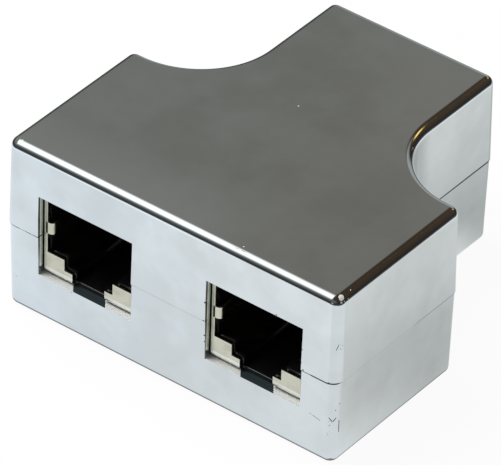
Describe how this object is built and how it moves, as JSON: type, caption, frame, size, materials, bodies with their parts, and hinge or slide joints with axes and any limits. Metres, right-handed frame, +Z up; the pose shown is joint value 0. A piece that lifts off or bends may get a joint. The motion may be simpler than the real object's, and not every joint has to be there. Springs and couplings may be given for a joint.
{
  "type": "network cable splitter",
  "caption": "T-shaped chrome-plated network splitter with shielded modular sockets in its wide front and in the end of its neck.",
  "frame": {"origin": "on the surface it stands on, under the middle of the housing's box", "axes": "+Z up, +Y from the wide front towards the end of the neck, +X to the right of the front"},
  "size_m": [0.0476, 0.0458, 0.0234],
  "materials": {
    "plated_housing": "bright plating on moulded plastic, slightly hazed, with fine scuffs",
    "tinned_shield": "satin tin plate",
    "black_plastic": "moulded, glossy black",
    "gold_contacts": "gold plated spring wire",
    "board_laminate": "glass laminate with green lacquer"
  },
  "bodies": {
    "root": {"upper_shell": "plated_housing", "lower_shell": "plated_housing", "circuit_board": "board_laminate", "front_left_shield": "tinned_shield", "front_left_insert": "black_plastic", "front_left_contact_block": "black_plastic", "front_left_contact_1": "gold_contacts", "front_left_contact_2": "gold_contacts", "front_left_contact_3": "gold_contacts", "front_left_contact_4": "gold_contacts", "front_left_contact_5": "gold_contacts", "front_left_contact_6": "gold_contacts", "front_left_contact_7": "gold_contacts", "front_left_contact_8": "gold_contacts", "front_right_shield": "tinned_shield", "front_right_insert": "black_plastic", "front_right_contact_block": "black_plastic", "front_right_contact_1": "gold_contacts", "front_right_contact_2": "gold_contacts", "front_right_contact_3": "gold_contacts", "front_right_contact_4": "gold_contacts", "front_right_contact_5": "gold_contacts", "front_right_contact_6": "gold_contacts", "front_right_contact_7": "gold_contacts", "front_right_contact_8": "gold_contacts", "rear_shield": "tinned_shield", "rear_insert": "black_plastic", "rear_contact_block": "black_plastic", "rear_contact_1": "gold_contacts", "rear_contact_2": "gold_contacts", "rear_contact_3": "gold_contacts", "rear_contact_4": "gold_contacts", "rear_contact_5": "gold_contacts", "rear_contact_6": "gold_contacts", "rear_contact_7": "gold_contacts", "rear_contact_8": "gold_contacts"}
  },
  "joints": []
}
